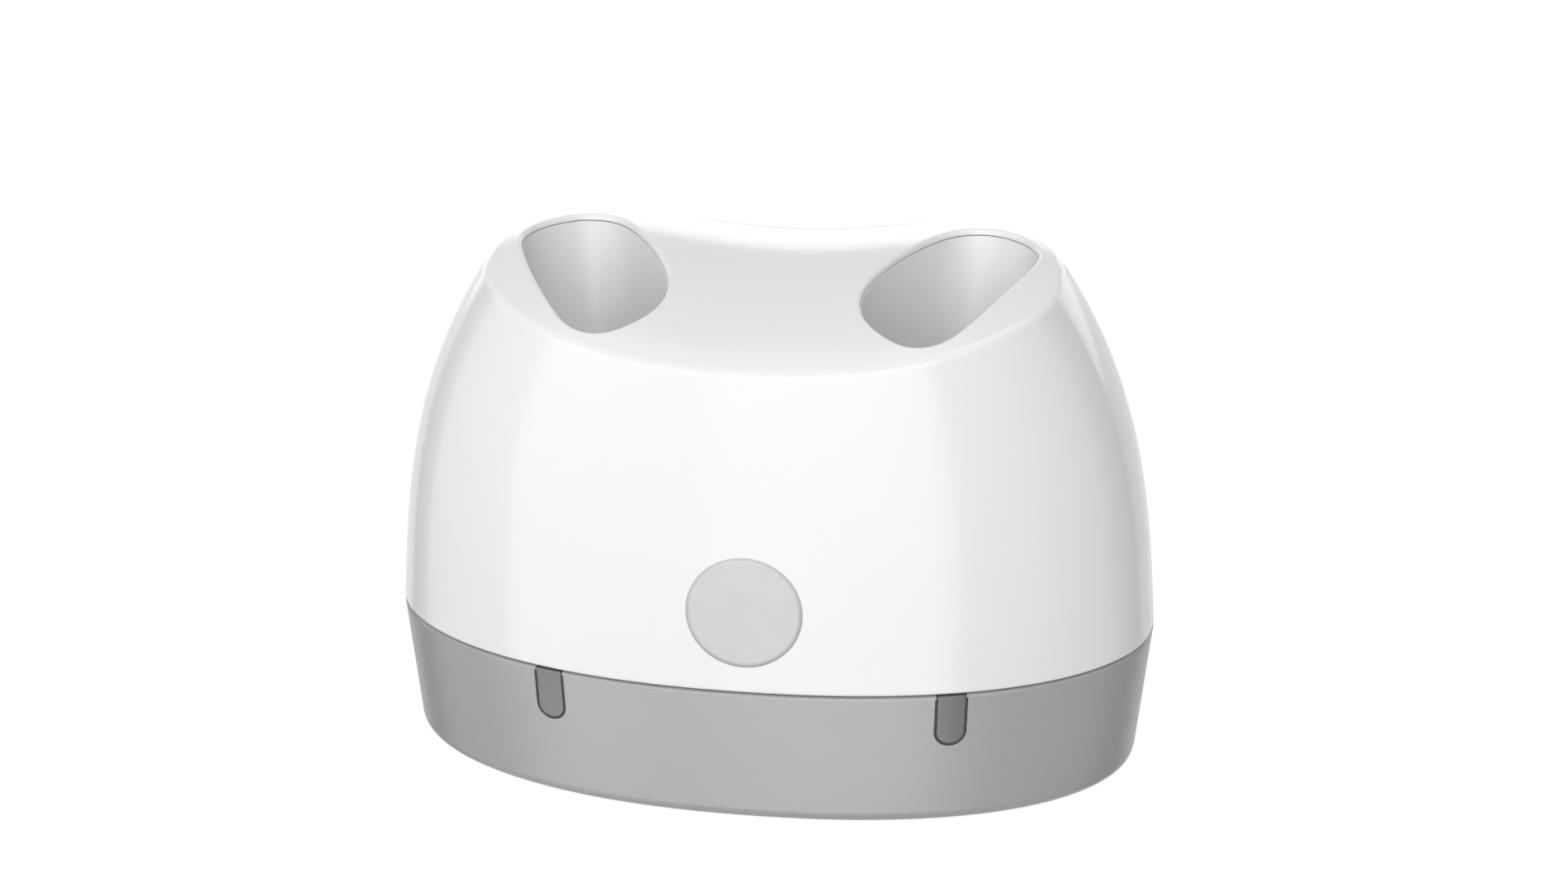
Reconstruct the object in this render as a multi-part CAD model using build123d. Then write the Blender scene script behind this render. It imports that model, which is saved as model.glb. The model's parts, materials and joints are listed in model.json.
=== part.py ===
from build123d import *
from math import copysign, cos, hypot, pi, radians, sin, tan
import os

# Desk charger for two behind-the-ear hearing aids. Sizes are in millimetres and angles in degrees.
# +X is to the right seen from the front, +Y is the back and +Z is up. The origin is the centre of
# the footprint, on the surface that the rubber feet stand on.

# Outer form: an oval body, widest at the seam between the grey base and the white cover
seam_length = 80.0
seam_depth = 43.7
seam_fullness = 2.16
base_end_taper = 1.2
base_side_taper = 1.15
underside_fullness = 2.19
base_height = 15.0
base_edge_radius = 1.6
cover_height = 37.5
cover_end_draw = 11.1
cover_side_draw = 4.05
cover_top_fullness = 2.3
straight_share = 0.32
form_stations = (0, 0.25, 0.5, 0.75, 1)

# Saddle top: two humps with a valley between them, high at the back and nearly gone at the front
hump_reach = 21.2
hump_rise = 1.03
hump_fade_depth = 22.2
top_tilt = 4.7
top_crown_radius = 48.1
top_grid_columns = 12
top_grid_rows = 8
top_grid_overhang = 7.0
rim_radius = 1.1

# Walls and the seam
cover_wall = 1.8
cover_top_wall = 2.4
base_wall = 1.8
base_floor = 2.0
seam_gap = 0.15
seam_edge_radius = 0.3
lip_height = 2.4
lip_root = 3.0
lip_wall = 1.0
lip_clearance = 0.15

# Wells: a rounded parallelogram mouth, given by the ways from its middle to two of its corners
well_spacing = 35.8
well_forward = 2.6
well_outer_corner = (8.3, 4.8)
well_back_corner = (0.2, 11.2)
well_corner_sharpness = 0.05
well_depth = 24.0
well_forward_lean = 8.0
well_inward_lean = 5.0
well_floor_share = 0.58
well_stations = (0, 0.3, 0.6, 0.85, 1)
mouth_lip = 0.6
mouth_edge_radius = 0.35
liner_wall = 0.8
liner_ledge = 0.15
liner_clearance = 0.12
liner_floor = 1.2
liner_floor_radius = 1.6
flange_width = 0.9
flange_front = 8.0
flange_thickness = 1.2

# Indicator windows in the front of the base, one under each well
window_spacing = 40.2
window_width = 2.8
window_height = 5.5
window_gap = 0.1
pipe_flange = 0.8
pipe_flange_thickness = 1.4
pipe_leg_thickness = 2.2
pipe_clearance = 0.15

# Circuit board and what is soldered to it
board_length = 46.0
board_depth = 30.0
board_thickness = 1.2
board_corner_radius = 3.0
board_height = 3.2
board_tab_width = 15.0
board_edge_gap = 0.6
board_screw_spacing_x = 38.0
board_screw_spacing_y = 17.0
standoff_radius = 2.4
led_size = (2.0, 1.6, 0.8)
led_gap = 0.25
chip_size = (4.0, 4.0, 0.9)
chip_spacing = 14.0
chip_y = -1.0
regulator_size = (3.0, 3.0, 1.1)
regulator_y = 9.5
capacitor_size = (1.6, 0.8, 0.8)
capacitor_count = 4
capacitor_pitch = 2.6
capacitor_y = 5.0
connector_size = (4.4, 3.2, 2.6)
seat_gap = 0.1

# Micro-B power socket at the back
socket_width = 7.5
socket_height = 2.6
socket_depth = 5.4
socket_chamfer = 0.9
socket_sheet = 0.25
socket_setback = 0.7
socket_gap = 0.3
tongue_width = 4.4
tongue_height = 0.6
tongue_length = 3.6
contact_count = 5
contact_pitch = 0.65
contact_width = 0.3
contact_thickness = 0.12
tongue_root = 1.4
plug_recess_width = 12.5
plug_recess_height = 7.6
plug_recess_depth = 0.7
plug_recess_radius = 1.8

# Charging coils under the wells, on a frame that stands on the board
coil_outer_radius = 6.2
coil_inner_radius = 2.6
coil_thickness = 1.4
ferrite_radius = 6.6
ferrite_thickness = 0.8
pocket_wall = 1.0
pocket_clearance = 0.15
frame_plate = 1.6
frame_leg_radius = 1.7
frame_leg_inset = 4.4
frame_foot_radius = 3.0
frame_foot_thickness = 1.5
frame_bridge_width = 9.0
lead_radius = 0.4
lead_bend = 2.5
lead_angle = 75.0
lead_reach = 9.4
lead_notch_gap = 0.4

# Screws
housing_screw_end_inset = 8.0
housing_screw_y = 5.5
screw_radius = 1.1
screw_head_radius = 2.0
screw_head_height = 1.3
screw_length = 12.0
screw_seat = 2.6
thread_play = 0.05
screw_play = 0.15
recess_length = 2.8
board_recess_length = 2.4
recess_width = 0.5
recess_depth = 0.7
tower_height = 6.0
counterbore_gap = 0.3
tower_radius = 3.0
boss_radius = 2.6
boss_gap = 0.2
boss_rib = 1.2
board_screw_radius = 0.95
board_screw_head_radius = 1.7
board_screw_head_height = 1.1
board_screw_length = 5.4

# Rubber feet
foot_radius = 4.0
foot_thickness = 1.2
foot_recess = 0.7
foot_edge_radius = 0.3
foot_end_inset = 15.5
foot_side_inset = 12.35
foot_play = 0.1

# Places and heights that follow from the sizes above
underside_length = seam_length - 2 * base_end_taper
underside_depth = seam_depth - 2 * base_side_taper
cover_top_length = seam_length - 2 * cover_end_draw
cover_top_depth = seam_depth - 2 * cover_side_draw
housing_screw_x = seam_length / 2 - housing_screw_end_inset
foot_x = seam_length / 2 - foot_end_inset
foot_y = seam_depth / 2 - foot_side_inset
underside_z = foot_thickness - foot_recess
seam_z = underside_z + base_height
saddle_z = seam_z + cover_height
floor_z = underside_z + base_floor
board_z = floor_z + board_height
board_top_z = board_z + board_thickness
well_floor_z = saddle_z - well_depth
liner_bottom_z = well_floor_z - liner_floor
coil_z = liner_bottom_z - seat_gap - coil_thickness
ferrite_z = coil_z - seat_gap - ferrite_thickness
frame_top_z = ferrite_z - seat_gap
tower_top_z = floor_z + tower_height
boss_z = tower_top_z + boss_gap
screw_seat_z = underside_z + screw_seat
foot_plate_z = board_top_z + seat_gap
socket_z = board_top_z + seat_gap + socket_height / 2
window_bottom_z = seam_z - window_height
led_top_z = board_top_z + seat_gap + led_size[2]
over = 1.0
oval_points = 24
well_points = 16
sides = {"left": -1, "right": 1}
low = (Align.CENTER, Align.CENTER, Align.MIN)


# Outline helpers

def power(value, exponent):
    return copysign(abs(value) ** exponent, value)


def closed_face(points):
    return Face(Wire([Edge.make_spline(points, periodic=True)]))


def oval(half_length, half_depth, fullness, z):
    points = []
    for step in range(oval_points):
        angle = 2 * pi * step / oval_points
        x = half_length * power(cos(angle), 2 / fullness)
        y = half_depth * power(sin(angle), 2 / fullness)
        points.append(Vector(x, y, z))
    return closed_face(points)


def between(start, end, share):
    return start + (end - start) * share


def lofted(sections):
    return Solid.make_loft([face.outer_wire() for face in sections])


# Outer form of the cover and the base

def cover_section(z, inset):
    rise = (z - seam_z) / cover_height
    curl = straight_share * rise + (1 - straight_share) * rise ** 3
    half_length = between(seam_length, cover_top_length, curl) / 2 - inset
    half_depth = between(seam_depth, cover_top_depth, rise ** 2) / 2 - inset
    fullness = between(seam_fullness, cover_top_fullness, rise)
    return oval(half_length, half_depth, fullness, z)


def top_height(x, y):
    reach = (x / hump_reach) ** 2
    across = hump_rise * (2 * reach - reach ** 2) * (1 + y / hump_fade_depth)
    along = y * tan(radians(top_tilt)) - y ** 2 / (2 * top_crown_radius)
    return saddle_z + across + along


def above_saddle(drop):
    half_x = cover_top_length / 2 + top_grid_overhang
    half_y = cover_top_depth / 2 + top_grid_overhang
    xs = [between(-half_x, half_x, step / top_grid_columns) for step in range(top_grid_columns + 1)]
    ys = [between(-half_y, half_y, step / top_grid_rows) for step in range(top_grid_rows + 1)]
    grid = [[Vector(x, y, top_height(x, y) - drop) for y in ys] for x in xs]
    saddle = Face.make_surface_from_array_of_points(grid, tol=0.001, max_deg=6)
    return Solid.extrude(saddle, Vector(0, 0, 2 * cover_height))


def cover_form(inset, drop, bottom_z):
    top_z = saddle_z + 2 * hump_rise
    sections = [cover_section(between(bottom_z, top_z, share), inset) for share in form_stations]
    return lofted(sections) - above_saddle(drop)


def base_section(z, inset):
    rise = (z - underside_z) / base_height
    half_length = between(underside_length, seam_length, rise) / 2 - inset
    half_depth = between(underside_depth, seam_depth, rise) / 2 - inset
    fullness = between(underside_fullness, seam_fullness, rise)
    return oval(half_length, half_depth, fullness, z)


def base_form(inset, bottom_z, top_z):
    return lofted([base_section(z, inset) for z in (bottom_z, top_z)])


# Wells

def well_section(side, z, grow):
    depth = saddle_z - z
    share = max(depth / well_depth, 0)
    scale = (1 - (1 - well_floor_share) * share ** 2) / (1 + well_corner_sharpness)
    middle_x = well_spacing / 2 - depth * tan(radians(well_inward_lean))
    middle_y = -well_forward - depth * tan(radians(well_forward_lean))
    points = []
    for step in range(well_points):
        angle = 2 * pi * step / well_points
        along = (cos(angle) + well_corner_sharpness * cos(3 * angle)) * scale
        across = (sin(angle) - well_corner_sharpness * sin(3 * angle)) * scale
        turn_along = -sin(angle) - 3 * well_corner_sharpness * sin(3 * angle)
        turn_across = cos(angle) - 3 * well_corner_sharpness * cos(3 * angle)
        x = well_outer_corner[0] * along + well_back_corner[0] * across
        y = well_outer_corner[1] * along + well_back_corner[1] * across
        run_x = well_outer_corner[0] * turn_along + well_back_corner[0] * turn_across
        run_y = well_outer_corner[1] * turn_along + well_back_corner[1] * turn_across
        run = hypot(run_x, run_y)
        x += grow * run_y / run
        y -= grow * run_x / run
        points.append(Vector(side * (middle_x + x), middle_y + y, z))
    return closed_face(points)


def well_form(side, grow, bottom_z):
    top_z = saddle_z + 3 * hump_rise
    return lofted([well_section(side, between(bottom_z, top_z, share), grow) for share in well_stations])


def well_floor_middle(side):
    x = well_spacing / 2 - well_depth * tan(radians(well_inward_lean))
    y = -well_forward - well_depth * tan(radians(well_forward_lean))
    return side * x, y


def make_liner(side):
    flange_drop = cover_top_wall + seat_gap
    cup = well_form(side, liner_wall - liner_ledge, liner_bottom_z) - above_saddle(mouth_lip + seat_gap)
    band = well_form(side, liner_wall + flange_width, well_floor_z) - above_saddle(flange_drop)
    room = Box(seam_length, seam_depth, 2 * saddle_z, align=(Align.CENTER, Align.MIN, Align.MIN))
    band = band & above_saddle(flange_drop + flange_thickness) & Pos(0, -flange_front, 0) * room
    bore = well_form(side, -liner_ledge, well_floor_z)
    bore = bore.fillet(liner_floor_radius, bore.edges().sort_by(Axis.Z)[0:1])
    return cup + band - bore


# White top cover

def housing_screw_spots():
    return [(x * housing_screw_x, y * housing_screw_y) for x in (-1, 1) for y in (-1, 1)]


def bored(spot, radius, bottom_z, top_z):
    return Pos(*spot, bottom_z) * Cylinder(radius, top_z - bottom_z, align=low)


def boss_ribs():
    rib_length = seam_length / 2 - housing_screw_x
    rib_z = seam_z + lip_height + lip_clearance
    rib = Box(rib_length, boss_rib, cover_height, align=low)
    return [Pos(x + copysign(rib_length / 2, x), y, rib_z) * rib for x, y in housing_screw_spots()]


def cover_cavity():
    columns = [bored(spot, boss_radius, seam_z - 2 * over, saddle_z) for spot in housing_screw_spots()]
    return cover_form(cover_wall, cover_top_wall, seam_z - over) - columns - boss_ribs()


def liner_seats():
    seat = well_form(1, liner_wall - liner_ledge + liner_clearance, well_floor_z) - above_saddle(mouth_lip)
    return [seat, mirror(seat, about=Plane.YZ)]


def make_cover():
    hem_z = seam_z + seam_gap
    outer = cover_form(0, 0, hem_z)
    rim = outer.edges().filter_by(lambda edge: edge.bounding_box().min.Z > saddle_z - cover_height / 3)
    outer = outer.fillet(rim_radius, rim)
    pocket_z = saddle_z - 3 * cover_top_wall
    outer = outer - [well_form(side, 0, pocket_z) for side in sides.values()]
    loops = outer.edges().filter_by(lambda edge: edge.is_closed)
    mouths = loops.filter_by(lambda edge: edge.bounding_box().min.Z > saddle_z - 2 * cover_top_wall)
    outer = outer.fillet(mouth_edge_radius, mouths)
    hem = outer.edges().filter_by(lambda edge: edge.bounding_box().max.Z < hem_z + over)
    outer = outer.fillet(seam_edge_radius, hem)
    outer = outer + [bored(spot, boss_radius, boss_z, hem_z) for spot in housing_screw_spots()]
    pilot_top = screw_seat_z + screw_length + over
    pilots = [bored(spot, screw_radius + thread_play, boss_z, pilot_top) for spot in housing_screw_spots()]
    return outer - cover_cavity() - liner_seats() - pilots


# Light pipes behind the indicator windows, and their lights

def window_plane(side):
    half_length = seam_length / 2
    half_depth = seam_depth / 2
    x = window_spacing / 2
    y = half_depth * (1 - (x / half_length) ** seam_fullness) ** (1 / seam_fullness)
    lean_x = (x / half_length) ** (seam_fullness - 1) / half_length
    lean_y = (y / half_depth) ** (seam_fullness - 1) / half_depth
    outward = Vector(side * lean_x, -lean_y, 0)
    return Plane(origin=(side * x, -y, 0), x_dir=outward.cross(Vector(0, 0, -1)), z_dir=outward)


def window_prism(side, width, top_z, start, end):
    bottom = window_bottom_z + window_width / 2
    outline = Pos(0, (bottom + top_z) / 2) * Rectangle(width, top_z - bottom)
    outline = outline + Pos(0, bottom) * Circle(width / 2)
    return extrude(window_plane(side) * Pos(0, 0, start) * outline, amount=end - start)


def led_depth():
    return base_wall + pipe_clearance + pipe_flange_thickness + pipe_leg_thickness / 2


def make_light_pipe(side):
    flange_end = base_wall + pipe_clearance + pipe_flange_thickness
    window = window_prism(side, window_width, seam_z, -flange_end, over) & base_form(0, underside_z, seam_z)
    flange = window_prism(side, window_width + 2 * pipe_flange, seam_z, -flange_end, 0)
    flange = flange & base_form(base_wall + pipe_clearance, floor_z, seam_z)
    leg_bottom = led_top_z + led_gap
    leg_top = window_bottom_z + window_width
    leg = Pos(0, (leg_bottom + leg_top) / 2, -led_depth())
    leg = leg * Box(window_width, leg_top - leg_bottom, pipe_leg_thickness)
    return window + flange + window_plane(side) * leg


def make_status_led(side):
    spot = window_plane(side) * Pos(0, board_top_z + seat_gap, -led_depth())
    body = Box(led_size[0], led_size[2], led_size[1], align=(Align.CENTER, Align.MIN, Align.CENTER))
    return spot * body


# Grey base

def board_screw_spots():
    half_x = board_screw_spacing_x / 2
    half_y = board_screw_spacing_y / 2
    return [(x * half_x, y * half_y) for x in (-1, 1) for y in (-1, 1)]


def foot_spots():
    return {
        "front_left": (-foot_x, -foot_y),
        "front_right": (foot_x, -foot_y),
        "back_left": (-foot_x, foot_y),
        "back_right": (foot_x, foot_y),
    }


def back_wall_y():
    rise = (socket_z - underside_z) / base_height
    return between(underside_depth, seam_depth, rise) / 2


def rounded_block(width, height, corner, start_y, end_y):
    outline = Plane.XZ * Pos(0, socket_z) * RectangleRounded(width, height, corner)
    return Pos(0, start_y, 0) * extrude(outline, amount=start_y - end_y)


def stud(spot, radius, height):
    return Pos(*spot, floor_z - over) * Cylinder(radius, height + over, align=low)


def base_cuts():
    cuts = [bored(spot, board_screw_radius + thread_play, floor_z, seam_z) for spot in board_screw_spots()]
    for spot in housing_screw_spots():
        cuts.append(bored(spot, screw_radius + screw_play, 0, seam_z))
        cuts.append(bored(spot, screw_head_radius + counterbore_gap, 0, screw_seat_z))
    for spot in foot_spots().values():
        cuts.append(bored(spot, foot_radius + foot_play, 0, underside_z + foot_recess))
    notch_width = window_width + 2 * pipe_flange + 2 * pipe_clearance
    lip_top = seam_z + lip_height + over
    for side in sides.values():
        cuts.append(window_prism(side, window_width + 2 * window_gap, lip_top, -base_wall - over, over))
        cuts.append(window_prism(side, notch_width, lip_top, -base_wall - lip_wall - over, -base_wall))
    recess = (plug_recess_width, plug_recess_height, plug_recess_radius)
    hole = (socket_width + 2 * socket_gap, socket_height + 2 * socket_gap, socket_chamfer)
    cuts.append(rounded_block(*recess, back_wall_y() - plug_recess_depth, seam_depth))
    cuts.append(rounded_block(*hole, board_depth / 2, seam_depth))
    return cuts


def make_base():
    outer = base_form(0, underside_z, seam_z)
    outer = outer.fillet(base_edge_radius, outer.edges().sort_by(Axis.Z)[0:1])
    outer = outer.fillet(seam_edge_radius, outer.edges().sort_by(Axis.Z)[-1:])
    tongue = lofted([cover_section(z, cover_wall + lip_clearance) for z in (seam_z, seam_z + lip_height)])
    lip_z = seam_z - lip_root
    opening = extrude(cover_section(lip_z, cover_wall + lip_clearance + lip_wall), amount=seam_depth)
    shell = outer + tongue - base_form(base_wall, floor_z, lip_z) - opening
    studs = [stud(spot, standoff_radius, board_height) for spot in board_screw_spots()]
    towers = [stud(spot, tower_radius, tower_height) for spot in housing_screw_spots()]
    return shell + studs + towers - base_cuts()


# Circuit board and its components

def make_board():
    back_y = back_wall_y() - base_wall - board_edge_gap
    main = RectangleRounded(board_length, board_depth, board_corner_radius)
    tab = Pos(0, back_y / 2) * Rectangle(board_tab_width, back_y)
    board = extrude(Pos(0, 0, board_z) * (main + tab), amount=board_thickness)
    for x, y in board_screw_spots():
        board = board - bored((x, y), board_screw_radius + screw_play, board_z, board_top_z)
    return board


def on_board(size, x, y):
    return Pos(x, y, board_top_z + seat_gap) * Box(*size, align=low)


def make_controller(side):
    return on_board(chip_size, side * chip_spacing / 2, chip_y)


def make_capacitors():
    first = -capacitor_pitch * (capacitor_count - 1) / 2
    xs = [first + step * capacitor_pitch for step in range(capacitor_count)]
    return [on_board(capacitor_size, x, capacitor_y) for x in xs]


# Power socket

def socket_outline(inset):
    half_width = socket_width / 2 - inset
    half_height = socket_height / 2 - inset
    corners = [
        (-half_width, half_height),
        (half_width, half_height),
        (half_width, -half_height + socket_chamfer),
        (half_width - socket_chamfer, -half_height),
        (-half_width + socket_chamfer, -half_height),
        (-half_width, -half_height + socket_chamfer),
    ]
    return make_face(Polyline(corners, close=True))


def socket_length(face, start_y, length):
    return Pos(0, start_y, 0) * extrude(Plane.XZ * Pos(0, socket_z) * face, amount=length)


def socket_mouth_y():
    return back_wall_y() - socket_setback


def make_socket_shell():
    shell = socket_length(socket_outline(0), socket_mouth_y(), socket_depth)
    hollow = socket_outline(socket_sheet)
    return shell - socket_length(hollow, socket_mouth_y(), socket_depth - socket_sheet)


def tongue_root_y():
    return socket_mouth_y() - socket_depth + socket_sheet + tongue_root


def make_socket_tongue():
    root = socket_length(socket_outline(socket_sheet + seat_gap / 2), tongue_root_y(), tongue_root)
    blade = Rectangle(tongue_width, tongue_height)
    return root + socket_length(blade, tongue_root_y() + tongue_length, tongue_length)


def make_contacts():
    first = -contact_pitch * (contact_count - 1) / 2
    strips = []
    for step in range(contact_count):
        strip = Pos(first + step * contact_pitch, -tongue_height / 2 - contact_thickness / 2)
        strip = strip * Rectangle(contact_width, contact_thickness)
        strips.append(socket_length(strip, tongue_root_y() + tongue_length, tongue_length))
    return strips


# Charging coils and the frame that carries them

def make_coil(side):
    x, y = well_floor_middle(side)
    ring = Cylinder(coil_outer_radius, coil_thickness, align=low)
    ring = ring - Cylinder(coil_inner_radius, coil_thickness, align=low)
    return Pos(x, y, coil_z) * ring


def make_ferrite(side):
    x, y = well_floor_middle(side)
    return Pos(x, y, ferrite_z) * Cylinder(ferrite_radius, ferrite_thickness, align=low)


def lead_direction(side):
    return Vector(side * cos(radians(lead_angle)), sin(radians(lead_angle)), 0)


def lead_z():
    return coil_z + coil_thickness / 2


def connector_spot(side):
    x, y = well_floor_middle(side)
    return Vector(x, y, 0) + lead_direction(side) * lead_reach


def make_connector(side):
    spot = connector_spot(side)
    return on_board(connector_size, spot.X, spot.Y)


def make_lead(side):
    x, y = well_floor_middle(side)
    start = Vector(x, y, lead_z()) + lead_direction(side) * (coil_outer_radius + seat_gap / 2)
    spot = connector_spot(side)
    corner = Vector(spot.X, spot.Y, lead_z())
    end = Vector(spot.X, spot.Y, board_top_z + seat_gap + connector_size[2])
    route = FilletPolyline(start, corner, end, radius=lead_bend)
    return sweep(Plane(origin=start, z_dir=lead_direction(side)) * Circle(lead_radius), path=route)


def make_coil_frame():
    plate_z = frame_top_z - frame_plate
    pocket_radius = ferrite_radius + pocket_clearance + pocket_wall
    wall_top_z = coil_z + coil_thickness / 2 + lead_radius
    bridge_x, bridge_y = well_floor_middle(1)
    arm_length = board_screw_spacing_y / 2 - bridge_y
    leg_x = board_screw_spacing_x / 2 - frame_leg_inset
    notch = Box(pocket_radius + over, 2 * (lead_radius + lead_notch_gap), cover_height)
    frame = Pos(0, bridge_y, plate_z) * Box(2 * bridge_x, frame_bridge_width, frame_plate, align=low)
    for side in sides.values():
        arm = Pos(side * leg_x, bridge_y + arm_length / 2, plate_z)
        frame = frame + arm * Box(2 * frame_leg_radius, arm_length, frame_plate, align=low)
        frame = frame + bored(well_floor_middle(side), pocket_radius, plate_z, wall_top_z)
    for side in sides.values():
        way_out = Plane(
            origin=Vector(*well_floor_middle(side), frame_top_z + cover_height / 2),
            x_dir=lead_direction(side),
            z_dir=(0, 0, 1),
        )
        frame = frame - way_out * Pos((pocket_radius + over) / 2, 0, 0) * notch
        pocket = bored(well_floor_middle(side), ferrite_radius + pocket_clearance, frame_top_z, saddle_z)
        frame = frame - pocket
    foot_top_z = foot_plate_z + frame_foot_thickness
    for x, y in board_screw_spots():
        web = Pos(x - copysign(frame_leg_inset / 2, x), y, foot_plate_z)
        frame = frame + web * Box(frame_leg_inset, 2 * frame_leg_radius, frame_foot_thickness, align=low)
        frame = frame + bored((copysign(leg_x, x), y), frame_leg_radius, foot_plate_z, plate_z + over)
        frame = frame + bored((x, y), frame_foot_radius, foot_plate_z, foot_top_z)
        frame = frame - bored((x, y), board_screw_radius + screw_play, foot_plate_z, foot_top_z)
    return frame


# Screws and feet

def make_screw(shank_radius, length, head_radius, head_height, cross_length):
    head = Pos(0, 0, -head_height) * Cylinder(head_radius, head_height, align=low)
    slot = Pos(0, 0, -head_height) * Box(cross_length, recess_width, recess_depth, align=low)
    return head - slot - Rot(0, 0, 90) * slot + Cylinder(shank_radius, length, align=low)


def make_housing_screws():
    screw = make_screw(screw_radius, screw_length, screw_head_radius, screw_head_height, recess_length)
    return [Pos(x, y, screw_seat_z) * screw for x, y in housing_screw_spots()]


def make_board_screws():
    screw = make_screw(
        board_screw_radius,
        board_screw_length,
        board_screw_head_radius,
        board_screw_head_height,
        board_recess_length,
    )
    head_z = foot_plate_z + frame_foot_thickness
    return [Pos(x, y, head_z) * Rot(180, 0, 0) * screw for x, y in board_screw_spots()]


def make_foot(x, y):
    pad = Cylinder(foot_radius, foot_thickness, align=low)
    pad = fillet(pad.edges().sort_by(Axis.Z)[0:1], foot_edge_radius)
    return Pos(x, y, 0) * pad


# Writing the files, one per node

nodes = {
    "top_cover": make_cover(),
    "base_shell": make_base(),
    "circuit_board": make_board(),
    "power_regulator": on_board(regulator_size, 0, regulator_y),
    "board_capacitors": make_capacitors(),
    "usb_socket_shell": make_socket_shell(),
    "usb_socket_tongue": make_socket_tongue(),
    "usb_contacts": make_contacts(),
    "coil_frame": make_coil_frame(),
    "housing_screws": make_housing_screws(),
    "board_screws": make_board_screws(),
}
handed = {
    "well_liner": make_liner,
    "light_pipe": make_light_pipe,
    "status_led": make_status_led,
    "charge_controller": make_controller,
    "charging_coil": make_coil,
    "ferrite_disc": make_ferrite,
    "coil_connector": make_connector,
    "coil_lead": make_lead,
}
for name, make in handed.items():
    right = make(1)
    nodes[f"right_{name}"] = right
    nodes[f"left_{name}"] = mirror(right, about=Plane.YZ)
for name, (x, y) in foot_spots().items():
    nodes[f"{name}_foot"] = make_foot(x, y)

os.makedirs("parts", exist_ok=True)
for name, shape in nodes.items():
    pieces = shape if isinstance(shape, list) else [shape]
    solids = [solid for piece in pieces for solid in piece.solids()]
    export_step(Compound(children=solids), f"parts/{name}.step")
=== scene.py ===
import json
import math

import bmesh
import bpy
from mathutils import Matrix, Vector
from mathutils.bvhtree import BVHTree


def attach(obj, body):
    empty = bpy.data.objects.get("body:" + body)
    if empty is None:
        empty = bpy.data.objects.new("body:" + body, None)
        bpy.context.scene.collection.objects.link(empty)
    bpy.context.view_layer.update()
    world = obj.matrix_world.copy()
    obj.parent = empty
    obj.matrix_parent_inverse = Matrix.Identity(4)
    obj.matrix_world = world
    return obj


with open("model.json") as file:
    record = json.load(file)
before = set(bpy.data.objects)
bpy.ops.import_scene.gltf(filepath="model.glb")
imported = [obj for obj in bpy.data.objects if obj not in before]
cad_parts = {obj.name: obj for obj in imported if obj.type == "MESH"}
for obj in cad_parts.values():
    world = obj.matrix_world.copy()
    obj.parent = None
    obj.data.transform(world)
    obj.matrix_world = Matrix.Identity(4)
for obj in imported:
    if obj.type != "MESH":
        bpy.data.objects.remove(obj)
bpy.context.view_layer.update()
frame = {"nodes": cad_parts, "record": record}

mm = 0.001

# The scene is in metres. X is to the right, Y to the back and Z up, as in the frame.

# Camera, matched to the photograph's view
PHOTO_WIDTH = 1900
SENSOR_WIDTH = 36.0
FOCAL_PIXELS = 2591.0
CAMERA_TURN = math.radians(7.73)
CAMERA_RISE = math.radians(22.08)
CAMERA_DISTANCE = 234.18 * mm
AIM_RIGHT = 0.97 * mm
AIM_UP = 30.95 * mm

# Studio. A brightness of 1 looks as bright as white paper.
LIGHT_DISTANCE = 0.9
FLOOR_HALF_WIDTH = 0.5
FLOOR_GLOW = 0.72
WORLD_FILL = 0.2
BACKDROP_BRIGHTNESS = 1.0
AIM = (0, 0, 30 * mm)

# Softboxes and flags that stand round the object: first and last azimuth in degrees, lowest and highest
# edge in metres, and brightness. Azimuth 0 is in front of the object and 90 to its right. The camera
# looks down, so upright walls mirror what lies low in front of them, and reflections pass through the
# floor: the front pair and the flags go on below it.
WALL_SOFTBOXES = {
    "front_softbox": (-12, 30, -1.1, 0.85, 2.35),
    "left_softbox": (-57, -12, -1.1, 0.85, 1.65),
    "back_right_softbox": (130, 180, 0.0, 0.38, 1.0),
    "back_left_softbox": (-180, -130, 0.0, 0.38, 1.0),
}
FLAGS = {
    "right_flag": (96, 128, -1.1, 0.6, 0.45),
    "left_flag": (-124, -102, -1.1, 0.6, 0.15),
}

# Softboxes that look down at the object: place, aim, width and height in metres, and brightness
RAISED_SOFTBOXES = {
    "back_fill": ((0, 0.85, 0.5), AIM, 0.8, 0.5, 1.0),
    "top_softbox": ((0, 0.1, 1.0), AIM, 0.8, 0.6, 1.3),
    "rim_strip": ((0, -0.6, 0.75), AIM, 1.4, 0.03, 8.0),
}

# Printed dot on the front of the cover, in its middle
DOT_DIAMETER = 11.4 * mm
DOT_Z = 24.2 * mm
DOT_THICKNESS = 0.03 * mm
DOT_LIFT = 0.02 * mm
DOT_RAY_START = 100 * mm
DOT_RINGS = 10
DOT_SPOKES = 64

# Dark beads of painted shadow round the two indicator windows in the base. The windows' tops lie on the
# seam's oval.
SEAM_HALF_LENGTH = 40.0 * mm
SEAM_HALF_DEPTH = 21.85 * mm
SEAM_FULLNESS = 2.16
WINDOW_X = 20.1 * mm
WINDOW_WIDTH = 2.8 * mm
WINDOW_BOTTOM = 10.0 * mm
GAP_SHADOW_TOP = 15.15 * mm
GAP_SHADOW_INSIDE = 0.05 * mm
GAP_SHADOW_OUTSIDE = 0.24 * mm
GAP_SHADOW_LIFT = 0.02 * mm
GAP_SHADOW_CREST = 0.05 * mm
GAP_SHADOW_RAY_START = 20.1 * mm
GAP_SHADOW_STRAIGHT_STEPS = 8
GAP_SHADOW_ARC_STEPS = 24

# Finishes of single pieces, beside those of the record's slots
LINER_FINISH = "liner_satin"
DOT_FINISH = "dot_ink"
# The window beads' finish is a painted shadow for the gaps round the windows
GAP_SHADOW_FINISH = "painted_gap_shadow"


# Colour, node and mesh helpers

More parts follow.
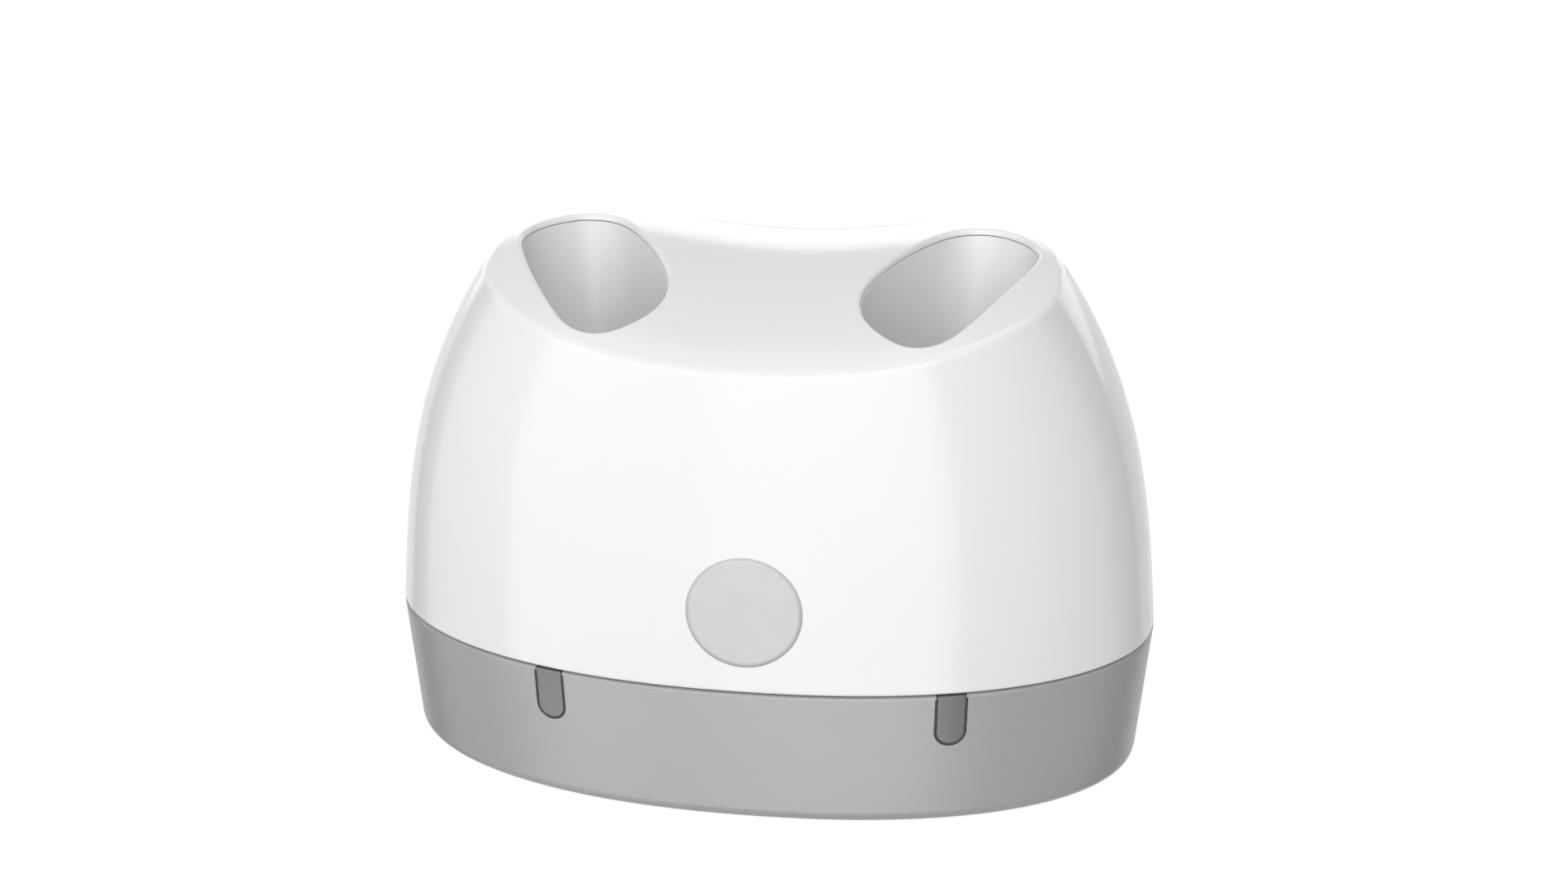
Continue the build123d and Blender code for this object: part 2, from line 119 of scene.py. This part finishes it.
def linear(hex_code):
    """Turns an sRGB hex colour into linear RGBA."""
    values = [int(hex_code[i:i + 2], 16) / 255 for i in (1, 3, 5)]
    values = [v / 12.92 if v <= 0.04045 else ((v + 0.055) / 1.055) ** 2.4 for v in values]
    return (*values, 1.0)


def add_node(tree, kind, settings=None, inputs=None):
    """Adds one node, with attribute settings and with input values or links."""
    node = tree.nodes.new(kind)
    for name, value in (settings or {}).items():
        setattr(node, name, value)
    for name, value in (inputs or {}).items():
        if isinstance(value, bpy.types.NodeSocket):
            tree.links.new(value, node.inputs[name])
        else:
            node.inputs[name].default_value = value
    return node


def new_material(name):
    """An empty node material, and its node tree."""
    material = bpy.data.materials.new(name)
    material.use_nodes = True
    material.node_tree.nodes.clear()
    return material, material.node_tree


def object_from(mesh, name):
    """Turns a bmesh into an object in the scene."""
    data = bpy.data.meshes.new(name)
    mesh.to_mesh(data)
    mesh.free()
    made = bpy.data.objects.new(name, data)
    bpy.context.collection.objects.link(made)
    return made


def mottled(tree, coordinates, light, dark, size):
    """A colour that drifts slowly between two close tones; size is the patch width in metres."""
    noise = add_node(tree, "ShaderNodeTexNoise", {}, {
        "Vector": coordinates, "Scale": 1 / size, "Detail": 3.0, "Roughness": 0.5})
    ramp = add_node(tree, "ShaderNodeValToRGB", {}, {"Fac": noise.outputs["Fac"]})
    ramp.color_ramp.elements[0].color = linear(dark)
    ramp.color_ramp.elements[0].position = 0.35
    ramp.color_ramp.elements[1].color = linear(light)
    ramp.color_ramp.elements[1].position = 0.65
    return ramp.outputs["Color"]


def grain_bump(tree, coordinates, size, height, strength):
    """A fine grain; size is its width and height its relief, both in metres.

    A grain under 0.1 mm would be too fine to show in the render, so each is drawn at 0.1 mm or more.
    """
    noise = add_node(tree, "ShaderNodeTexNoise", {}, {
        "Vector": coordinates, "Scale": 1 / size, "Detail": 2.0, "Roughness": 0.6})
    bump = add_node(tree, "ShaderNodeBump", {}, {
        "Height": noise.outputs["Fac"], "Distance": height, "Strength": strength})
    return bump.outputs["Normal"]


def moulded(name, light, dark, patch, roughness, ior, grain, relief, strength, extra=None):
    """A moulded plastic, rubber or resin: two close tones and a fine grain."""
    material, tree = new_material(name)
    coordinates = add_node(tree, "ShaderNodeTexCoord").outputs["Object"]
    inputs = {
        "Base Color": mottled(tree, coordinates, light, dark, patch),
        "Roughness": roughness,
        "IOR": ior,
        "Normal": grain_bump(tree, coordinates, grain, relief, strength),
    }
    inputs.update(extra or {})
    shader = add_node(tree, "ShaderNodeBsdfPrincipled", {}, inputs)
    add_node(tree, "ShaderNodeOutputMaterial", {}, {"Surface": shader.outputs[0]})
    return material


def metal(name, light, dark, patch, roughness, grain, relief, strength):
    """A plated or drawn metal: tone drifts a little and fine marks soften the gloss."""
    material, tree = new_material(name)
    coordinates = add_node(tree, "ShaderNodeTexCoord").outputs["Object"]
    shader = add_node(tree, "ShaderNodeBsdfPrincipled", {}, {
        "Base Color": mottled(tree, coordinates, light, dark, patch),
        "Metallic": 1.0,
        "Roughness": roughness,
        "Normal": grain_bump(tree, coordinates, grain, relief, strength),
    })
    add_node(tree, "ShaderNodeOutputMaterial", {}, {"Surface": shader.outputs[0]})
    return material


def housing_finishes():
    """What is seen from outside: cover, wells, base, windows and feet, with the ink and the painted gap
    shadows.
    """
    return {
        # Polished moulded ABS: clean white with a wet gloss and the faintest ripple in its reflections
        "white_gloss": moulded("polished_white_abs", "#F2F2F2", "#F0F0F0", 30 * mm, 0.16, 1.53,
                               3.0 * mm, 0.02 * mm, 0.10),
        # Moulded ABS as it leaves the tool: the cover's white with a soft sheen and no mirror lines
        LINER_FINISH: moulded("satin_white_abs", "#ECECEC", "#E9E9E9", 20 * mm, 0.36, 1.53,
                              0.4 * mm, 0.01 * mm, 0.15),
        # Spark-textured moulded ABS: mid grey with a broad soft sheen, without sharp reflections.
        # The specular level is above the usual 0.5, matched to the strength of that sheen.
        "grey_satin": moulded("spark_textured_grey_abs", "#A0A0A0", "#9C9C9C", 20 * mm, 0.34, 1.53,
                              0.35 * mm, 0.02 * mm, 0.25, {"Specular IOR Level": 0.85}),
        # Polished smoked polycarbonate: darker than the base, slightly clear, with a smooth face
        "smoked_window": moulded("smoked_polycarbonate", "#707072", "#6A6A6C", 4 * mm, 0.2, 1.58,
                                 0.5 * mm, 0.01 * mm, 0.1, {"Transmission Weight": 0.15}),
        # Moulded silicone rubber: dark grey feet that take the light without a highlight
        "foot_rubber": moulded("moulded_silicone_rubber", "#3A3A3B", "#333334", 3 * mm, 0.7, 1.45,
                               0.2 * mm, 0.02 * mm, 0.4),
        # Pad-printed ink: a flat light grey, a little less glossy than the plastic round it
        DOT_FINISH: moulded("pad_printed_ink", "#D0D0D0", "#CDCDCD", 4 * mm, 0.3, 1.5,
                            0.3 * mm, 0.004 * mm, 0.15),
        # Painted shadow: near black, dull beads that stand for the shade in the gap round each window
        GAP_SHADOW_FINISH: moulded("dark_elastomer_gap_shadow", "#262626", "#202020", 2 * mm, 0.6, 1.5,
                             0.1 * mm, 0.005 * mm, 0.2),
    }


def inner_finishes():
    """Resins, ceramics and plastics of the board, the coils and the frame that carries them."""
    return {
        # Etched fibreglass laminate under solder mask: deep green with a dim lacquered shine
        "board_green": moulded("solder_masked_fibreglass", "#1D6B3C", "#185F35", 3 * mm, 0.35, 1.5,
                               0.4 * mm, 0.02 * mm, 0.2),
        # Transfer-moulded epoxy: near black and matt, with a fine even grit
        "chip_black": moulded("moulded_epoxy_package", "#242424", "#1E1E1E", 1 * mm, 0.55, 1.5,
                              0.1 * mm, 0.01 * mm, 0.3),
        # Fired ceramic: warm tan blocks with a faint glazed sheen
        "capacitor_tan": moulded("fired_ceramic_block", "#A98B62", "#9C7F58", 1 * mm, 0.4, 1.6,
                                 0.1 * mm, 0.01 * mm, 0.2),
        # Moulded nylon: a dark insulator that hardly shines
        "socket_plastic": moulded("moulded_nylon", "#2A2A2A", "#232323", 1 * mm, 0.5, 1.53,
                                  0.15 * mm, 0.01 * mm, 0.25),
        # Textured moulded ABS: a plain matt black inner frame
        "frame_black": moulded("matt_black_abs", "#2E2E30", "#28282A", 6 * mm, 0.55, 1.53,
                               0.3 * mm, 0.02 * mm, 0.3),
        # Cast clear epoxy: a pale, half clear lens with a glassy shine
        "led_lens": moulded("clear_epoxy_lamp", "#EDEDE4", "#E2E2D8", 1 * mm, 0.15, 1.5,
                            0.3 * mm, 0.01 * mm, 0.1, {"Transmission Weight": 0.5}),
        # Pressed and sintered ferrite: charcoal, dull and slightly rough like slate
        "ferrite_dark": moulded("pressed_ferrite", "#2F2D2C", "#272524", 2 * mm, 0.6, 1.6,
                                0.2 * mm, 0.02 * mm, 0.4),
        # Extruded silicone sleeve: dark red with a soft rubbery sheen
        "lead_red": moulded("silicone_sleeve", "#9A2A26", "#8E2420", 2 * mm, 0.5, 1.41,
                            0.2 * mm, 0.01 * mm, 0.2),
    }


def metal_finishes():
    """The socket, its contacts, the screws and the coils."""
    return {
        # Pressed and plated sheet steel: a bright socket rim with blurred reflections
        "socket_steel": metal("plated_sheet_steel", "#C9C9CA", "#BDBDBF", 2 * mm, 0.28,
                              0.2 * mm, 0.004 * mm, 0.2),
        # Cold-headed zinc-plated steel: silvery screw heads with fine forming marks
        "screw_steel": metal("zinc_plated_steel", "#B9B9BC", "#ABABB0", 1 * mm, 0.32,
                             0.15 * mm, 0.004 * mm, 0.3),
        # Stamped gold-plated strip: small warm yellow glints inside the socket
        "contact_gold": metal("gold_plated_strip", "#D8B25A", "#CFA750", 1 * mm, 0.25,
                              0.1 * mm, 0.002 * mm, 0.2),
        # Wound enamelled copper wire: red-brown and uneven, as packed turns are
        "coil_copper": metal("enamelled_copper_wire", "#B86F42", "#A9623A", 1 * mm, 0.3,
                             0.3 * mm, 0.05 * mm, 0.6),
    }


def dress_cad_nodes(materials):
    """Gives each CAD node the finish of its slot; the wells' cups get their softer white."""
    for part in frame["record"]["subparts"]:
        finish = LINER_FINISH if part["node"].endswith("well_liner") else part["material_slot"]
        mesh = frame["nodes"][part["node"]].data
        mesh.materials.clear()
        mesh.materials.append(materials[finish])


# Printed dot

def surface_of(node):
    """A node's surface, for finding where a ray meets it."""
    mesh = frame["nodes"][node].data
    points = [vertex.co.copy() for vertex in mesh.vertices]
    return BVHTree.FromPolygons(points, [tuple(face.vertices) for face in mesh.polygons])


def dot_mesh():
    """A round skin of rings and spokes that lies just off the cover's curved front."""
    skin = surface_of("top_cover")
    mesh = bmesh.new()

    def on_cover(radius, angle):
        x = radius * math.cos(angle)
        z = DOT_Z + radius * math.sin(angle)
        hit, normal, _, _ = skin.ray_cast(Vector((x, -DOT_RAY_START, z)), Vector((0, 1, 0)))
        if normal.y > 0:
            normal = -normal
        return mesh.verts.new(hit + normal * DOT_LIFT)

    centre = on_cover(0, 0)
    angles = [2 * math.pi * spoke / DOT_SPOKES for spoke in range(DOT_SPOKES)]
    radii = [DOT_DIAMETER / 2 * ring / DOT_RINGS for ring in range(1, DOT_RINGS + 1)]
    loops = [[on_cover(radius, angle) for angle in angles] for radius in radii]
    for spoke in range(DOT_SPOKES):
        after = (spoke + 1) % DOT_SPOKES
        mesh.faces.new((centre, loops[0][spoke], loops[0][after]))
        for inner, outer in zip(loops, loops[1:]):
            mesh.faces.new((inner[spoke], outer[spoke], outer[after], inner[after]))
    bmesh.ops.recalc_face_normals(mesh, faces=mesh.faces)
    return mesh


def make_printed_dot(ink):
    """Pad print: a round film of ink on the front of the cover."""
    dot = object_from(dot_mesh(), "printed_dot")
    for face in dot.data.polygons:
        face.use_smooth = True
    solid = dot.modifiers.new("ink_thickness", "SOLIDIFY")
    solid.thickness = DOT_THICKNESS
    solid.offset = 1
    dot.data.materials.append(ink)
    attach(dot, "root")


# Painted shadow round the windows

def gap_shadow_outline(reach):
    """A U round the bottom of a window, at a distance outside its edge, as ways along and up."""
    radius = WINDOW_WIDTH / 2 + reach
    middle = WINDOW_BOTTOM + WINDOW_WIDTH / 2
    drop = (GAP_SHADOW_TOP - middle) / GAP_SHADOW_STRAIGHT_STEPS
    left = [(-radius, GAP_SHADOW_TOP - drop * step) for step in range(GAP_SHADOW_STRAIGHT_STEPS)]
    angles = [math.pi * step / GAP_SHADOW_ARC_STEPS for step in range(GAP_SHADOW_ARC_STEPS + 1)]
    bottom = [(-radius * math.cos(angle), middle - radius * math.sin(angle)) for angle in angles]
    right = [(-along, up) for along, up in reversed(left)]
    return left + bottom + right


def window_frame(side):
    """Where a window lies on the seam's oval, seen from above, and the way that it faces."""
    across = WINDOW_X / SEAM_HALF_LENGTH
    depth = (1 - across ** SEAM_FULLNESS) ** (1 / SEAM_FULLNESS)
    power = SEAM_FULLNESS - 1
    outward = Vector((side * across ** power / SEAM_HALF_LENGTH, -depth ** power / SEAM_HALF_DEPTH, 0))
    return Vector((side * WINDOW_X, -depth * SEAM_HALF_DEPTH, 0)), outward.normalized()


def gap_shadow_edge(side, node, reach):
    """Points just off a node's surface, along one edge of a bead of painted shadow."""
    skin = surface_of(node)
    face, outward = window_frame(side)
    up_way = Vector((0, 0, 1))
    along_way = up_way.cross(outward)
    spots = []
    for along, up in gap_shadow_outline(reach):
        start = face + along_way * along + up_way * up + outward * GAP_SHADOW_RAY_START
        spots.append(skin.ray_cast(start, -outward)[0] + outward * GAP_SHADOW_LIFT)
    return spots


def gap_shadow_mesh(inner_edge, outer_edge, outward):
    """A closed bead between two edges, with a flat diamond for its section."""
    mesh = bmesh.new()
    rings = []
    for inner, outer in zip(inner_edge, outer_edge):
        middle = (inner + outer) / 2
        section = (inner, middle + outward * GAP_SHADOW_CREST, outer, middle - outward * GAP_SHADOW_CREST)
        rings.append([mesh.verts.new(spot) for spot in section])
    for ring, after in zip(rings, rings[1:]):
        for corner in range(len(ring)):
            beside = (corner + 1) % len(ring)
            mesh.faces.new((ring[corner], ring[beside], after[beside], after[corner]))
    mesh.faces.new(rings[0])
    mesh.faces.new(rings[-1])
    bmesh.ops.recalc_face_normals(mesh, faces=mesh.faces)
    return mesh


def make_window_gap_shadow(side, name, shadow_finish):
    """A thin dark bead over the gap between a light pipe and the base round it: a painted shadow of
    that gap.
    """
    inner_edge = gap_shadow_edge(side, name + "_light_pipe", -GAP_SHADOW_INSIDE)
    outer_edge = gap_shadow_edge(side, "base_shell", GAP_SHADOW_OUTSIDE)
    _, outward = window_frame(side)
    gap_shadow = object_from(gap_shadow_mesh(inner_edge, outer_edge, outward), name + "_window_gap_shadow")
    gap_shadow.data.materials.append(shadow_finish)
    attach(gap_shadow, "root")


# Stage, lights and camera

def seen_by(tree, kinds):
    """A value that is 1 for rays of the given kinds and 0 for all others."""
    path = add_node(tree, "ShaderNodeLightPath")
    seen = path.outputs[kinds[0]]
    for kind in kinds[1:]:
        either = {0: seen, 1: path.outputs[kind]}
        seen = add_node(tree, "ShaderNodeMath", {"operation": "MAXIMUM"}, either).outputs[0]
    return seen


def make_world():
    """White for what the camera sees and what gloss and glass show; a dimmer fill for the lighting."""
    world = bpy.data.worlds.new("studio")
    world.use_nodes = True
    tree = world.node_tree
    tree.nodes.clear()
    seen = seen_by(tree, ("Is Camera Ray", "Is Glossy Ray", "Is Transmission Ray"))
    white = linear("#FFFFFF")
    lighting = add_node(tree, "ShaderNodeBackground", {}, {"Color": white, "Strength": WORLD_FILL})
    backdrop = add_node(tree, "ShaderNodeBackground", {}, {
        "Color": white, "Strength": BACKDROP_BRIGHTNESS})
    mix = add_node(tree, "ShaderNodeMixShader", {}, {
        "Fac": seen, 1: lighting.outputs[0], 2: backdrop.outputs[0]})
    add_node(tree, "ShaderNodeOutputWorld", {}, {"Surface": mix.outputs[0]})
    bpy.context.scene.world = world


def sweep_paper():
    """Matt paper: a soft light grey that its own glow lifts to white where nothing shades it."""
    material, tree = new_material("white_sweep_paper")
    seen = seen_by(tree, ("Is Camera Ray", "Is Glossy Ray"))
    strength = add_node(tree, "ShaderNodeMath", {"operation": "MULTIPLY"}, {0: seen, 1: FLOOR_GLOW})
    paper = add_node(tree, "ShaderNodeBsdfDiffuse", {}, {"Color": linear("#D0D0D0"), "Roughness": 1.0})
    glow = add_node(tree, "ShaderNodeEmission", {}, {
        "Color": linear("#FFFFFF"), "Strength": strength.outputs[0]})
    both = add_node(tree, "ShaderNodeAddShader", {}, {0: paper.outputs[0], 1: glow.outputs[0]})
    add_node(tree, "ShaderNodeOutputMaterial", {}, {"Surface": both.outputs[0]})
    return material


def make_floor():
    """A square of paper that keeps the object's shadow and ends in the white backdrop."""
    mesh = bmesh.new()
    edge = FLOOR_HALF_WIDTH
    corners = ((-edge, -edge), (edge, -edge), (edge, edge), (-edge, edge))
    mesh.faces.new([mesh.verts.new((x, y, 0)) for x, y in corners])
    floor = object_from(mesh, "floor")
    floor.data.materials.append(sweep_paper())
    # Reflections pass through the floor, to the white world and the softboxes below it
    floor.visible_glossy = False


def around(azimuth, distance, height):
    """A place round the object, at an azimuth in degrees."""
    turn = math.radians(azimuth)
    return Vector((distance * math.sin(turn), -distance * math.cos(turn), height))


def add_softbox(name, place, aim, width, height, brightness):
    """A rectangular softbox of even brightness, hidden from the camera."""
    light = bpy.data.lights.new(name, "AREA")
    light.shape = "RECTANGLE"
    light.size = width
    light.size_y = height
    # An area lamp spreads its power over pi times its area
    light.energy = brightness * math.pi * width * height
    lamp = bpy.data.objects.new(name, light)
    bpy.context.collection.objects.link(lamp)
    lamp.location = place
    lamp.rotation_euler = (Vector(aim) - Vector(place)).to_track_quat("-Z", "Y").to_euler()
    lamp.visible_camera = False
    return lamp


def add_wall_softbox(name, first, last, bottom, top, brightness):
    """A softbox that stands up between two azimuths and faces the object."""
    height = (bottom + top) / 2
    width = 2 * LIGHT_DISTANCE * math.tan(math.radians(last - first) / 2)
    place = around((first + last) / 2, LIGHT_DISTANCE, height)
    add_softbox(name, place, (0, 0, height), width, top - bottom, brightness)


def flag_cloth(name, brightness):
    """Woven cloth: an even grey, given as its own brightness because no lamp lights it."""
    material, tree = new_material(name + "_cloth")
    shade = add_node(tree, "ShaderNodeEmission", {}, {"Strength": brightness})
    add_node(tree, "ShaderNodeOutputMaterial", {}, {"Surface": shade.outputs[0]})
    material.cycles.emission_sampling = "NONE"
    return material


def add_flag(name, first, last, bottom, top, brightness):
    """A grey card that only gloss and glass show; it darkens a stripe of the reflections."""
    mesh = bmesh.new()
    corners = ((first, bottom), (last, bottom), (last, top), (first, top))
    mesh.faces.new([mesh.verts.new(around(azimuth, LIGHT_DISTANCE, z)) for azimuth, z in corners])
    flag = object_from(mesh, name)
    flag.data.materials.append(flag_cloth(name, brightness))
    flag.visible_camera = False
    flag.visible_diffuse = False
    flag.visible_shadow = False


def make_lights():
    """The softboxes, then the flags."""
    for name, values in WALL_SOFTBOXES.items():
        add_wall_softbox(name, *values)
    lamps = {name: add_softbox(name, *values) for name, values in RAISED_SOFTBOXES.items()}
    # The fill is there for the back of the cover; the gloss on top doesn't mirror it
    lamps["back_fill"].visible_glossy = False
    for name, values in FLAGS.items():
        add_flag(name, *values)


def make_camera():
    """Looks at the object from the photograph's side; the aim is set across and up in the picture."""
    data = bpy.data.cameras.new("photo_camera")
    camera = bpy.data.objects.new("photo_camera", data)
    bpy.context.collection.objects.link(camera)
    back = Vector((
        math.sin(CAMERA_TURN) * math.cos(CAMERA_RISE),
        -math.cos(CAMERA_TURN) * math.cos(CAMERA_RISE),
        math.sin(CAMERA_RISE),
    ))
    right = Vector((math.cos(CAMERA_TURN), math.sin(CAMERA_TURN), 0))
    up = back.cross(right)
    camera.location = right * AIM_RIGHT + up * AIM_UP + back * CAMERA_DISTANCE
    camera.rotation_euler = Matrix((right, up, back)).transposed().to_euler()
    data.sensor_width = SENSOR_WIDTH
    data.lens = FOCAL_PIXELS / PHOTO_WIDTH * data.sensor_width
    data.clip_start = 0.01
    data.clip_end = 10.0
    bpy.context.scene.camera = camera


# Making the scene

make_camera()
finishes = {**housing_finishes(), **inner_finishes(), **metal_finishes()}
dress_cad_nodes(finishes)
make_printed_dot(finishes[DOT_FINISH])
for side, name in ((-1, "left"), (1, "right")):
    make_window_gap_shadow(side, name, finishes[GAP_SHADOW_FINISH])
make_world()
make_floor()
make_lights()
bpy.context.scene.view_settings.view_transform = "Standard"
